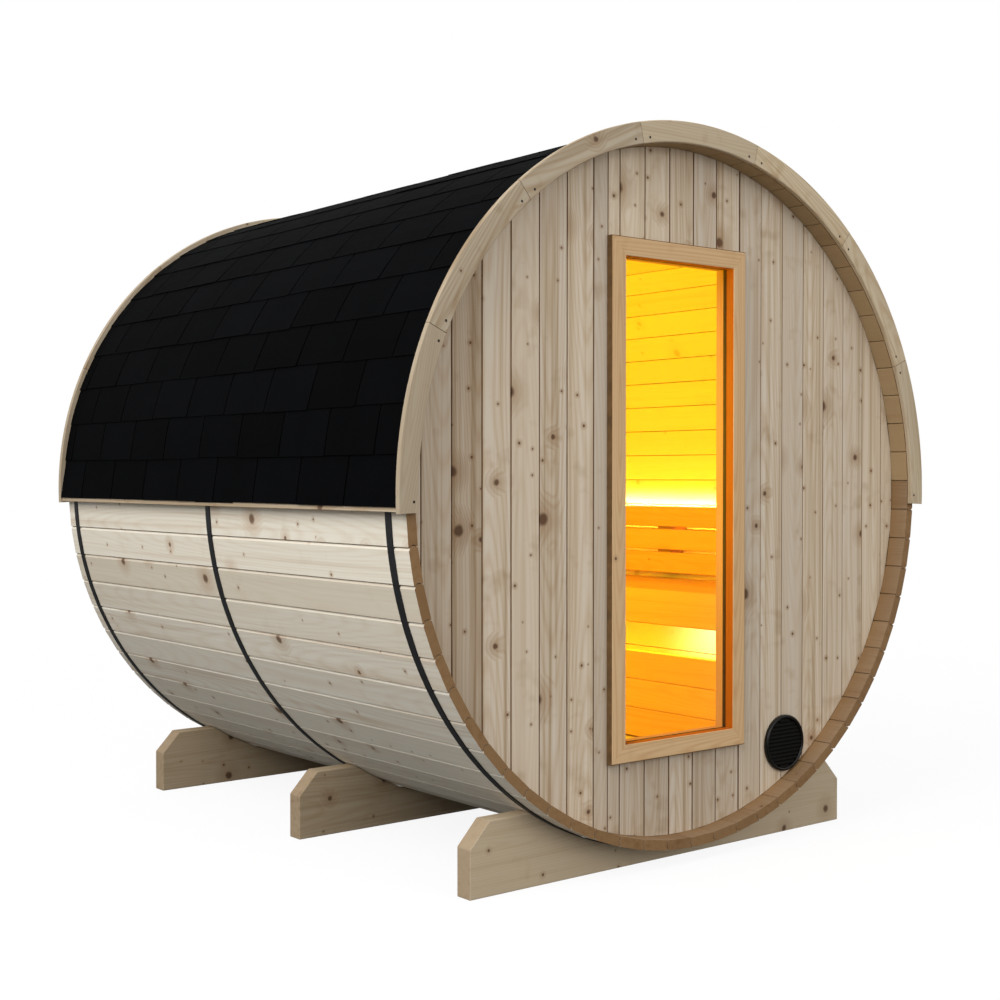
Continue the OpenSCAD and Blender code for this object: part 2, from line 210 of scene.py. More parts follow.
def spruce(name, look, along="own"):
    # colour = pale wood, browned by growth rings about a swaying pith, long streaks, fine fibre, short cross
    # smudges and knots, then shifted by the tone that each board carries; marked faces take a stain at cut
    # ends and joints, and painted shade on the barrel's open rims and the window's reveal
    made, tree, shader = newMaterial(name)
    place = plankPlace(tree, along)
    tone, figure, stainAndShadeMark, calm = [readAttribute(tree, key) for key in ("tone", "figure", "stainAndShade", "calm")]
    bold = remap(tree, calm, 0.0, 1.0, 1.0, look["calmBold"])
    core, rim = knotField(tree, place, look, "knot")
    pin, pinRim = knotField(tree, place, look, "pin")

    # growth rings: waves of the distance from the pith, bent by wobble and by knots
    part = addNode(tree, "ShaderNodeSeparateXYZ", {0: place}).outputs
    sway = times(tree, calc(tree, "SINE", times(tree, part[0], look["swayRate"])), look["sway"])
    deep = calc(tree, "ADD", part[2], sway)
    reach = calc(tree, "SQRT", calc(tree, "ADD", times(tree, part[1], part[1]), times(tree, deep, deep)))
    wobble = times(tree, noiseOf(tree, place, look["wobbleWaves"]), look["wobble"])
    bent = calc(tree, "ADD", calc(tree, "ADD", reach, wobble), times(tree, rim, look["knotBend"]))
    wave = calc(tree, "SINE", times(tree, bent, look["rings"]))
    late = calc(tree, "POWER", remap(tree, wave, -1.0, 1.0), look["lateSharp"])

    fibre = noiseOf(tree, place, look["fibreWaves"], 1.0, look["fibreRough"])
    streak = noiseOf(tree, place, look["streakWaves"], 2.0, look["streakRough"])
    smudge = noiseOf(tree, place, look["smudgeWaves"], 2.0, look["streakRough"])
    woods = (look["brown"], look["mid"], look["pale"])
    streaked = ramp(tree, streak, list(zip(look["streakStops"], woods)))
    plain = blendColour(tree, "MIX", 0.5, look["pale"], look["mid"])
    colour = blendColour(tree, "MIX", times(tree, figure, bold), plain, streaked)
    figured = remap(tree, figure, 0.0, 1.0, look["ringLeast"], 1.0)
    cloud = remap(tree, smudge, look["smudgeFrom"], look["smudgeTo"], 0.0, look["smudge"])
    for fac, tint in ((times(tree, late, look["ringDepth"], figured, bold), look["ringTint"]),
                      (times(tree, fibre, look["fibreDepth"]), look["ringTint"]),
                      (times(tree, cloud, bold), look["smudgeTint"])):
        colour = blendColour(tree, "MULTIPLY", fac, colour, tint)
    for soft, dark in ((rim, core), (pinRim, pin)):
        colour = blendColour(tree, "MIX", times(tree, soft, look["rimDepth"], bold), colour, look["knotRim"])
        colour = blendColour(tree, "MIX", times(tree, dark, look["knotDepth"], bold), colour, look["knot"])
    shift = ramp(tree, tone, [(0.0, look["toneLow"]), (0.5, (1.0, 1.0, 1.0)), (1.0, look["toneHigh"])])
    # the marked faces' tint is a stain at ends and joints, and painted shade on the open rims and the reveal
    for fac, tint in ((1.0, shift), (calm, look["calmTint"]), (stainAndShadeMark, look["endTint"])):
        colour = blendColour(tree, "MULTIPLY", fac, colour, tint)
    play = look["roughPlay"]
    fillInputs(tree, shader, {
        "Base Color": colour,
        "Roughness": remap(tree, fibre, look["fibreLow"], look["fibreHigh"],
                           look["rough"] - play, look["rough"] + play),
        "Normal": bumpOf(tree, fibre, look["bump"], look["bumpDeep"]),
        "Specular IOR Level": look["shine"],
    })
    return made


staveWood = spruce("staveSpruce", lookOf(
    (0.77, 0.73, 0.63), (0.72, 0.66, 0.55), (0.61, 0.51, 0.39), ringDepth=0.24, smudge=0.16,
    toneLow=(0.88, 0.85, 0.81), toneHigh=(1.06, 1.06, 1.06), endTint=(0.333, 0.207, 0.107),
    knot=(0.13, 0.065, 0.030), knotRim=(0.42, 0.25, 0.12), rimDepth=0.45))
# its light tones reach far, partly board tone and partly painted light on the right and top walls
wallWood = spruce("wallSpruce", lookOf(
    (0.59, 0.515, 0.42), (0.53, 0.435, 0.325), (0.36, 0.265, 0.165), ringDepth=0.36, smudge=0.55,
    toneLow=(0.74, 0.68, 0.60), toneHigh=(1.26, 1.25, 1.20), endTint=(0.42, 0.27, 0.15),
    knots=0.42, pins=0.40, knotScale=4.6, rimDepth=0.52,
    knot=(0.080, 0.032, 0.011), knotRim=(0.27, 0.145, 0.06)))
trimWood = spruce("trimSpruce", lookOf(
    (0.48, 0.41, 0.305), (0.42, 0.34, 0.24), (0.32, 0.245, 0.155), ringDepth=0.50,
    pins=0.24, toneHigh=(1.36, 1.33, 1.22)))
# the frame's marked faces are its reveal, so its tint for them is a painted warm shade
frameWood = spruce("frameSpruce", lookOf(
    (0.66, 0.46, 0.26), (0.62, 0.41, 0.21), (0.56, 0.35, 0.17), smudge=0.2,
    knots=0.0, pins=0.06, endTint=(0.48, 0.19, 0.02)))
cradleWood = spruce("cradleSpruce", lookOf(
    (0.52, 0.425, 0.30), (0.48, 0.385, 0.26), (0.38, 0.285, 0.18), ringDepth=0.26, smudge=0.3, knots=0.24))
benchWood = spruce("benchSpruce", lookOf(
    (0.68, 0.36, 0.15), (0.64, 0.32, 0.13), (0.57, 0.27, 0.10), ringDepth=0.20, smudge=0.1,
    knots=0.06, pins=0.06, toneLow=(0.9, 0.88, 0.85)))
deckWood = spruce("deckSpruce", lookOf(
    (0.57, 0.45, 0.30), (0.52, 0.40, 0.26), (0.42, 0.30, 0.18)), along="y")
bearerWood = spruce("bearerSpruce", lookOf(
    (0.56, 0.25, 0.09), (0.51, 0.22, 0.08), (0.43, 0.17, 0.06)), along="x")

feltSet = {
    "gritWaves": 900.0, "patchWaves": 6.0,
    "grit": ((0.35, (0.0008, 0.0009, 0.0011)), (0.62, (0.0016, 0.0018, 0.0021)),
             (0.82, (0.009, 0.009, 0.010))),
    "tabs": ((0.0, (0.6, 0.6, 0.62)), (1.0, (1.25, 1.25, 1.3))),
    "patches": ((0.3, (0.7, 0.7, 0.7)), (0.7, (1.2, 1.2, 1.2))), "patchShare": 0.6,
    "bump": 0.4, "bumpDeep": 0.0008, "rough": 0.95, "shine": 0.03,
}


def blackFelt():
    # near black, with pale mineral grains from fine noise and a slow change of tone from tab to tab
    made, tree, shader = newMaterial("blackShingle")
    place = objectPlace(tree)
    grit = noiseOf(tree, place, feltSet["gritWaves"], 2.0, 0.7)
    patch = noiseOf(tree, place, feltSet["patchWaves"], 3.0)
    tabs = ramp(tree, readAttribute(tree, "tone"), feltSet["tabs"])
    colour = blendColour(tree, "MULTIPLY", 1.0, ramp(tree, grit, feltSet["grit"]), tabs)
    patches = ramp(tree, patch, feltSet["patches"])
    colour = blendColour(tree, "MULTIPLY", feltSet["patchShare"], colour, patches)
    fillInputs(tree, shader, {
        "Base Color": colour,
        "Normal": bumpOf(tree, grit, feltSet["bump"], feltSet["bumpDeep"]),
        "Roughness": feltSet["rough"],
        "Specular IOR Level": feltSet["shine"],
    })
    return made


coatSet = {
    "wornWaves": 40.0, "low": 0.3, "high": 0.7, "dark": 0.75, "light": 1.3, "smoother": 0.06, "rougher": 0.08,
    "bumpWaves": 500.0, "bump": 0.2,
}


def darkCoat(name, colour, rough, bumpSize, shine=0.25):
    # dark coat with faint unevenness in gloss and surface
    made, tree, shader = newMaterial(name)
    place = objectPlace(tree)
    worn = noiseOf(tree, place, coatSet["wornWaves"], 4.0)
    low, high = coatSet["low"], coatSet["high"]
    dark, light = [tuple(coatSet[key] * c for c in colour) for key in ("dark", "light")]
    fillInputs(tree, shader, {
        "Base Color": ramp(tree, worn, [(low, dark), (high, light)]),
        "Roughness": remap(tree, worn, low, high, rough - coatSet["smoother"], rough + coatSet["rougher"]),
        "Normal": bumpOf(tree, noiseOf(tree, place, coatSet["bumpWaves"]), coatSet["bump"], bumpSize),
        "Specular IOR Level": shine,
    })
    return made


def clearPane():
    # clear thin glass: almost nothing but a trace of film and of gloss over what lies behind
    made, tree, shader = newMaterial("clearPane")
    film = noiseOf(tree, objectPlace(tree), 3.0)
    colour = ramp(tree, film, [(0.3, (0.10, 0.09, 0.07)), (0.7, (0.14, 0.12, 0.10))])
    fillInputs(tree, shader, {"Base Color": colour, "Roughness": 0.03, "Alpha": 0.03})
    return made


def warmStrip():
    # lit diffuser of the light strips: pale plastic with its own warm light
    made, tree, shader = newMaterial("warmStrip")
    dots = noiseOf(tree, objectPlace(tree), (1.0, 60.0, 1.0), 1.0)
    colour = ramp(tree, dots, [(0.3, (0.90, 0.80, 0.52)), (0.7, (1.0, 0.92, 0.70))])
    fillInputs(tree, shader, {"Base Color": colour, "Roughness": 0.5,
                              "Emission Color": (1.0, 0.72, 0.22, 1.0), "Emission Strength": 6.0})
    return made


shingleFelt = blackFelt()
hoopPaint = darkCoat("hoopPaint", (0.010, 0.010, 0.011), 0.45, 0.0003)
ventGloss = darkCoat("ventGloss", (0.0040, 0.0037, 0.0032), 0.20, 0.0001, 0.22)
ventPlastic = darkCoat("ventPlastic", (0.0040, 0.0037, 0.0032), 0.60, 0.0002, 0.06)
sealRubber = darkCoat("sealRubber", (0.030, 0.011, 0.004), 0.60, 0.0003)
beadPaste = darkCoat("beadPaste", (0.15, 0.083, 0.032), 0.70, 0.0003)
screwSteel = darkCoat("screwSteel", (0.022, 0.015, 0.010), 0.60, 0.0002)
paneGlass = clearPane()
stripLight = warmStrip()
print("materials made:", len(bpy.data.materials))


# meshes

def barFaces(count, rings, size, closed=False):
    # quads join every ring of points to the next one; a closed loop joins its last ring to its first, and a
    # flat cap closes each end of every open bar
    first = np.arange(count)[:, None, None] * rings * size
    step = np.arange(rings if closed else rings - 1)[None, :, None]
    ring, after = first + step * size, first + (step + 1) % rings * size
    here = np.arange(size)
    side = (here + 1) % size
    faces = np.stack([ring + here, ring + side, after + side, after + here], -1).reshape(-1, 4).tolist()
    if not closed:
        faces += (first[:, 0] + here[::-1]).tolist() + (first[:, 0] + (rings - 1) * size + here).tolist()
    return faces


def pointsOf(x, y, z):
    # three coordinates spread over each other's shapes and joined as points
    return np.stack(np.broadcast_arrays(x, y, z), -1)


def lathe(profile, centres, sides):
    # a closed outline of radius and depth, turned once about an axis along Y through each centre
    turn = np.linspace(0, 2 * math.pi, sides, endpoint=False)[None, :, None]
    x, y, z = [np.asarray(centres, float)[:, i, None, None] for i in range(3)]
    radius, depth = profile[None, None, :, 0], profile[None, None, :, 1]
    points = pointsOf(x + radius * np.cos(turn), y + depth, z + radius * np.sin(turn))
    return points, barFaces(len(x), sides, len(profile), closed=True)


figureSet = {"lot": 37.3, "least": 0.25}  # second lots drawn from the tone, and the least figure


def putPiece(name, points, faces, material, nodes, grain=None, tone=None, smooth=False, calm=None,
             stainedAndShaded=None):
    # a mesh from arrays, faces turned outwards, with its board coordinates and tones beside it;
    # calm marks points with a quiet figure, and the last argument gives faces their share of stain and
    # painted shade
    mesh = bpy.data.meshes.new(name)
    mesh.from_pydata(np.asarray(points).reshape(-1, 3).tolist(), [], faces)
    work = bmesh.new()
    work.from_mesh(mesh)
    bmesh.ops.recalc_face_normals(work, faces=work.faces)
    work.to_mesh(mesh)
    work.free()
    figure = None
    if tone is not None:
        lot = np.modf(np.asarray(tone, float) * figureSet["lot"])[0]
        figure = figureSet["least"] + (1 - figureSet["least"]) * lot
    if grain is not None:
        mesh.attributes.new("grain", "FLOAT_VECTOR", "POINT").data.foreach_set("vector", grain.ravel())
    for key, domain, values in (("tone", "POINT", tone), ("figure", "POINT", figure), ("calm", "POINT", calm),
                                ("stainAndShade", "FACE", stainedAndShaded)):
        if values is not None:
            layer = mesh.attributes.new(key, "FLOAT", domain)
            layer.data.foreach_set("value", np.asarray(values, float).ravel())
    mesh.polygons.foreach_set("use_smooth", np.full(len(mesh.polygons), smooth))
    mesh.materials.append(material)
    mesh.update()
    made = bpy.data.objects.new(name, mesh)
    bpy.context.scene.collection.objects.link(made)
    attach(made, "root")
    if nodes:
        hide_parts(*nodes)
    return made


def softEdges(piece, width):
    # a small round on every sharp edge
    made = piece.modifiers.new("edges", "BEVEL")
    made.width = width
    made.segments = 2
    made.limit_method = "ANGLE"
    made.angle_limit = math.radians(40)


def coatNode(node, material):
    # a CAD piece that stays as it is, in its own material
    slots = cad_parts[node].data.materials
    slots.clear()
    slots.append(material)


def planedEdge(width, thick, cut):
    # outline of a board: a rectangle of width by thickness, centred, with its four corners cut off
    w, t = width / 2, thick / 2
    return np.array([[-w, -t + cut], [-w + cut, -t], [w - cut, -t], [w, -t + cut],
                     [w, t - cut], [w - cut, t], [-w + cut, t], [-w, t - cut]])


boardSet = {"pith": 0.045, "nearest": 0.025, "farthest": 0.085, "start": 90.0, "spread": 0.22}


def boardGrain(along, across, into, count):
    # each board is cut from its own place in a tree: a pith some way behind its face, and its own start
    pith = draw.uniform(-boardSet["pith"], boardSet["pith"], count)
    depth = draw.uniform(boardSet["nearest"], boardSet["farthest"], count)
    start = draw.uniform(0.0, boardSet["start"], count)
    side = (count,) + (1,) * (np.ndim(along) - 1)
    return pointsOf(along + start.reshape(side), across + pith.reshape(side), into + depth.reshape(side))


def boardTone(count, perBoard, middle=0.5):
    # one random tone about a middle for all the points of a board
    return np.repeat(np.clip(draw.normal(middle, boardSet["spread"], count), 0, 1), perBoard)


def longBoards(specs, y0, y1, cut):
    # straight boards along Y: centre, width, thickness and lean of each, drawn out between two ends
    x, z, width, thick, lean = [specs[:, i, None, None] for i in range(5)]
    sign = planedEdge(2.0, 2.0, 0.0)
    inset = np.abs(sign - planedEdge(2.0, 2.0, 1.0)) * cut
    across = sign[None, None, :, 0] * (width / 2 - inset[None, None, :, 0])
    into = sign[None, None, :, 1] * (thick / 2 - inset[None, None, :, 1])
    across, into, y = np.broadcast_arrays(across, into, np.array([y0, y1])[None, :, None])
    points = np.stack([x + across * np.cos(lean) - into * np.sin(lean), y,
                       z + across * np.sin(lean) + into * np.cos(lean)], -1)
    count, size = len(specs), len(sign)
    grain = boardGrain(y, across, into, count)
    return points, grain, barFaces(count, 2, size), boardTone(count, 2 * size)


# barrel of staves

staveSet = {
    "count": 66, "banks": 11,
    "turn": math.radians(1.85),  # first joint, up from the right
    "thick": 0.028,
    "gap": 0.0024, "cut": 0.0012,
    "beadRadius": 0.0085, "beadHeight": 0.0050, "beadPoints": 9,
    "slopeDeep": 0.0045, "slopeWide": 0.0062,
    "hoopThick": 0.00215,
    "tuck": 0.004,  # the rim's painted shade ends just behind the wall's face
    # painted shade on the open rims' inner faces, lighter under the roof; the joints' sides take a real stain
    "rimShade": 0.88, "roofedShade": 0.60, "jointStain": 0.70,
}


def staveOutline(inner, outer, halfAngle):
    # section of a stave as radius and side: a rounded bead on one edge, the matching cove on the other,
    # and a slope planed off the outer corner over the bead
    slant, play, c = math.tan(halfAngle), staveSet["gap"] / 2, staveSet["cut"]
    deep, wide = staveSet["slopeDeep"], staveSet["slopeWide"]
    turn = np.linspace(-math.pi / 2, math.pi / 2, staveSet["beadPoints"])
    d = (inner + outer) / 2 + staveSet["beadRadius"] * np.sin(turn)
    bulge = staveSet["beadHeight"] * np.cos(turn)

    def edge(r):
        # half the stave's width at a radius, less half the joint
        return r * slant - play

    return np.concatenate([
        [[inner, edge(inner) - c], [inner + c, edge(inner + c)]],
        np.stack([d, edge(d) - bulge], -1),
        [[outer - c, edge(outer - c)], [outer, edge(outer) - c]],
        [[outer, wide - edge(outer)], [outer - deep, -edge(outer - deep)]],
        np.stack([d, -edge(d) - bulge], -1)[::-1],
        [[inner + c, -edge(inner + c)], [inner, c - edge(inner)]],
    ])


def roundBoards(turns, out, stops):
    # boards round the axis: a radial outline, turned to each angle and drawn along Y through its stops
    turns = np.asarray(turns)[:, None, None]
    count, rings, size = len(turns), len(stops), len(out)
    radial, side, y = [np.broadcast_to(v, (count, rings, size))
                       for v in (out[:, 0], out[:, 1], np.array(stops)[None, :, None])]
    points = np.stack([radial * np.cos(turns) - side * np.sin(turns), y,
                       axisZ + radial * np.sin(turns) + side * np.cos(turns)], -1)
    grain = boardGrain(y, side, radial - out[:, 0].mean(), count)
    return points, grain, barFaces(count, rings, size), boardTone(count, rings * size)


def makeStaves():
    # one bank of six staves at a time, flat-faced, with a fine open joint between neighbours;
    # their inner faces are quiet between the two walls, and carry painted shade on the open rims, less under
    # the roof
    step = 2 * math.pi / staveSet["count"]
    radius = hoopRadius - staveSet["hoopThick"]
    outer = radius * math.cos(step / 2)
    inner = outer - staveSet["thick"]
    perBank = staveSet["count"] // staveSet["banks"]
    section = staveOutline(inner, outer, step / 2)
    stops = [barrelFront, frontLow[1] + staveSet["tuck"], rearHigh[1] - staveSet["tuck"], barrelRear]
    stain = np.zeros((perBank, len(stops) - 1, len(section)))
    side = staveSet["beadPoints"] + 1  # faces down one joint side
    stain[:, :, 1:side + 1] = stain[:, :, side + 4:2 * side + 4] = staveSet["jointStain"]
    stain[:, :, side + 1] = staveSet["jointStain"] / 2
    for bank in range(staveSet["banks"]):
        turns = staveSet["turn"] + (bank * perBank + np.arange(perBank) + 0.5) * step
        points, grain, faces, tone = roundBoards(turns, section, stops)
        node = "staves_%02d" % (bank + 1)
        roofed = np.sin(turns) > 0
        rimShade = np.where(roofed, staveSet["roofedShade"], staveSet["rimShade"])
        # painted shade on the inner faces of the open rims
        stain[:, ::2, [-2, -1, 0]] = rimShade[:, None, None]
        quiet = roofed[:, None] | np.array([False, True, True, False])[None, :]
        inside = (section[:, 0] < outer - staveSet["thick"] / 2)[None, None, :] & quiet[:, :, None]
        putPiece("barrel_" + node, points, faces, staveWood, [node], grain, tone, calm=inside,
                 stainedAndShaded=np.concatenate([stain.ravel(), np.ones(2 * perBank)]))
    return radius, inner


barrelRadius, innerRadius = makeStaves()
print("staves made, radius", round(float(barrelRadius), 4))


# steel hoops

hoopSet = {"segments": 264, "edge": 0.0006, "play": 0.00015}


def makeHoop(node):
    # a flat band: a thin rectangle with eased edges carried once round the axis
    low, high = boxOf(node)
    outer = (high[0] - low[0]) / 2
    inner = outer - staveSet["hoopThick"] + hoopSet["play"]
    e = hoopSet["edge"]
    out = np.array([[inner, low[1]], [outer - e, low[1]], [outer, low[1] + e], [outer, high[1] - e],
                    [outer - e, high[1]], [inner, high[1]]])
    points, faces = lathe(out, [(0.0, 0.0, axisZ)], hoopSet["segments"])
    putPiece(node + "_band", points, faces, hoopPaint, [node])


for hoopName in ("hoop_front", "hoop_middle", "hoop_rear"):
    makeHoop(hoopName)
print("hoops made")


# end walls of upright boards

wallSet = {
    "cover": 0.096,  # board to board
    "least": 0.009,  # narrowest board that is kept
    "rimPlay": 0.0008,
    "tuck": 0.0012,  # how far the boards run under the frame's sides
    "joint": 0.0019,  # half the open joint between faces, on average
    "uneven": 0.8, "lot": 0.618,  # how much the joints differ, and the step of the lots that they take
    "lip": 0.0042,  # depth of the face before the tongue
    "ease": 0.0008, "tonguePlay": 0.00005, "backCut": 0.0002,
    "samples": 9,  # points across a board's face
    "stain": 0.80,  # brown of the joints' sides
    # painted light: the right and top walls' boards are toned lighter, where more light falls
    "rightSeam": 0.55, "rightLitTone": 0.68, "topLitTone": 0.72,
}
wallRadius = (rearHigh[0] - rearLow[0]) / 2


def wallOutline():
    # section of a wall board as a place across the board, a fixed step from its edges, a depth and a share of
    # the open joint: an eased face, then the tongue that closes the joint behind it, then the back
    thick = frontHigh[1] - frontLow[1]
    e, lip, play = wallSet["ease"], wallSet["lip"], wallSet["tonguePlay"]
    u = np.linspace(0, 1, wallSet["samples"])
    face = np.stack([u, e * (1 - 2 * u), 0 * u, 1 - 2 * u], -1)
    right = np.array([[1, 0, e, -1], [1, 0, lip, -1], [1, -play, lip, 0], [1, -play, thick, 0]])
    back = np.stack([u[::-1], wallSet["backCut"] * (2 * u - 1), 0 * u + thick, 0 * u], -1)[1:-1]
    left = right[::-1] * [0, -1, 1, -1]
    return np.concatenate([face, right, back, left])


def wallBoards(left, right, yFace, turnIn, lowest=None, highest=None, seam=1.0):
    # upright boards between two sides: the section at each, from the round wall's lower edge (or lowest)
    # to its upper edge (or highest); seam scales the open joints, which differ from board to board
    place, fixed, depth, share = wallOutline().T[:, None, :]
    lot = np.modf(np.arange(len(left)) * wallSet["lot"])[0] - 0.5
    half = wallSet["joint"] * seam * (1 + wallSet["uneven"] * lot)
    x = left[:, None] + (right - left)[:, None] * place + fixed + half[:, None] * share
    reach = np.sqrt(np.maximum(wallRadius ** 2 - x ** 2, 0.0))
    top = axisZ + reach if highest is None else np.minimum(axisZ + reach, highest)
    low = axisZ - reach if lowest is None else np.maximum(axisZ - reach, lowest)
    z = np.stack([low, top], 1)
    across = x - ((left + right) / 2)[:, None]
    into = depth + 0 * x
    y = yFace + turnIn * into
    x, y, across, into = [np.broadcast_to(v[:, None, :], z.shape) for v in (x, y, across, into)]
    return np.stack([x, y, z], -1), across, into


def makeWall(name, node, sides, middle=0.5, yFace=frontLow[1], turnIn=1, **limits):
    # boards with their own grain and tone, in one mesh
    points, across, into = wallBoards(*sides, yFace, turnIn, **limits)
    count, rings, size = across.shape
    grain = boardGrain(points[..., 2], across, into, count)
    n = wallSet["samples"]
    stain = np.zeros((count, size))
    stain[:, n - 1] = stain[:, size - 1] = wallSet["stain"] / 2
    stain[:, n:n + 2] = stain[:, size - 3:size - 1] = wallSet["stain"]
    putPiece(name, points, barFaces(count, rings, size), wallWood, [node], grain,
             boardTone(count, rings * size, middle),
             stainedAndShaded=np.concatenate([stain.ravel(), np.ones(2 * count)]))


def boardSides(lowest, highest):
    # left and right side of every board that lies between two limits, the outer ones ripped to fit
    count = int(math.ceil(wallRadius / wallSet["cover"] + 0.5))
    left = (np.arange(-count, count + 1) - 0.5) * wallSet["cover"]
    right = np.minimum(left + wallSet["cover"], highest)
    left = np.maximum(left, lowest)
    keep = right - left > wallSet["least"]
    return left[keep], right[keep]


rim = wallRadius - wallSet["rimPlay"]
frameLeft, frameRight = stileLow[0] + wallSet["tuck"], stileHigh[0] - wallSet["tuck"]
overWindow = boardSides(frameLeft, frameRight)
makeWall("front_wall_boards_left", "front_wall_left", boardSides(-rim, frameLeft))
# the right and top walls are toned lighter as painted light
makeWall("front_wall_boards_right", "front_wall_right", boardSides(frameRight, rim), wallSet["rightLitTone"],
         seam=wallSet["rightSeam"])
makeWall("front_wall_boards_top", "front_wall_top", overWindow, wallSet["topLitTone"],
         lowest=railHigh[2] - wallSet["tuck"])
makeWall("front_wall_boards_bottom", "front_wall_bottom", overWindow, highest=railLow[2] + wallSet["tuck"])
makeWall("rear_wall_boards", "rear_wall", boardSides(-rim, rim), yFace=rearHigh[1], turnIn=-1)
print("walls made")


# window

frameSet = {
    # the reveal behind the glass takes part of the painted shade
    "width": 0.050, "cut": 0.0016, "mitre": 0.0002, "tone": 0.5, "innerShade": 0.55,
    "seal": (0.0090, 0.0078),  # width of the seal at the sides and at the ends
    "bead": 0.0022, "beadBack": 0.0030, "beadLap": 0.0004,
    "paneCut": 0.0008,
}
frameLow = np.array([stileLow[0], stileLow[1], railLow[2]])
frameHigh = np.array([stileHigh[0], stileHigh[1], railHigh[2]])


def makeFrame():
    # four mitred members: an eased rectangle whose points slide along the member, so that its ends meet at
    # 45 degrees; the reveal is parted at the glass, and carries painted warm shade, deeper on its outer half
    wide, depth = frameSet["width"], frameHigh[1] - frameLow[1]
    glassAt = (sealLow[1] + sealHigh[1]) / 2 - frameLow[1] - depth / 2
    out = np.insert(planedEdge(wide, depth, frameSet["cut"]), 4, [wide / 2, glassAt], axis=0)
    inward = out[:, 0] + wide / 2
    stain = np.zeros(len(out))
    # painted warm shade on the reveal: full before the glass, part behind it
    stain[3] = 1.0
    stain[4:6] = frameSet["innerShade"]
    for name, across, along in (("stiles", 0, 2), ("rails", 2, 0)):
        points = np.zeros((2, 2, len(out), 3))
        points[0, ..., across] = frameLow[across] + inward
        points[1, ..., across] = frameHigh[across] - inward
        points[:, 0, :, along] = frameLow[along] + inward + frameSet["mitre"]
        points[:, 1, :, along] = frameHigh[along] - inward - frameSet["mitre"]
        points[..., 1] = frameLow[1] + out[:, 1] + depth / 2
        shape = points.shape[:3]
        side, into = [np.broadcast_to(v, shape) for v in out.T]
        grain = boardGrain(points[..., along], side, into, 2)
        putPiece("window_frame_" + name, points, barFaces(2, 2, len(out)), frameWood, ["window_" + name],
                 grain, np.full(shape, frameSet["tone"]),
                 stainedAndShaded=np.concatenate([stain, stain, np.zeros(4)]))


def ringBox(low, high, inset, y0, y1):
    # four mitred strips that make a flat rectangular ring between two depths, inset wide at sides and ends
    corner = np.array([[low[0], low[2]], [high[0], low[2]], [high[0], high[2]], [low[0], high[2]]])
    inner = np.array([[1, 1], [-1, 1], [-1, -1], [1, -1]]) * np.asarray(inset) + corner
    loop = np.stack([corner, inner, inner, corner], 1)
    y = np.broadcast_to([y0, y0, y1, y1], (4, 4))
    return np.stack([loop[..., 0], y, loop[..., 1]], -1), barFaces(1, 4, 4, closed=True)


def makePane():
    # a sheet of glass: a rectangle with cut corners in section, carried from its foot to its head
    low, high = boxOf("window_glass")
    mid = (low + high) / 2
    out = planedEdge(high[0] - low[0], high[1] - low[1], frameSet["paneCut"])
    z = np.array([low[2], high[2]])[:, None]
    points = pointsOf(mid[0] + out[:, 0], mid[1] + out[:, 1], z)
    putPiece("window_pane", points, barFaces(1, 2, len(out)), paneGlass, ["window_glass"])


makeFrame()
points, faces = ringBox(sealLow, sealHigh, frameSet["seal"], sealLow[1], sealHigh[1])
putPiece("glazing_seal_ring", points, faces, sealRubber, ["glazing_seal"])
bead = frameSet["bead"]
points, faces = ringBox(frameLow - bead, frameHigh + bead, bead, frameLow[1] + frameSet["beadBack"],
                        frontLow[1] + frameSet["beadLap"])
putPiece("window_frame_bead", points, faces, beadPaste, None)
makePane()
print("window made")


# round vent

ventSet = {
    "sides": 96, "rim": 0.010, "crown": 0.004, "crownPoints": 9,  # width and round of the rim
    "seat": 0.0003, "recess": 0.002,  # flange and floor before the wall
    "sleeveOut": 0.0497, "sleeveIn": 0.0467, "sleeveDeep": 0.027,
    "bars": 13, "lean": math.radians(52), "blade": 0.0125, "bladeThick": 0.0020, "bladeCut": 0.0005,
    "bladeAt": 0.0055,  # before the wall
    "endSlope": 0.25, "endLap": 0.001,  # how the louvres' ends meet the rim
}


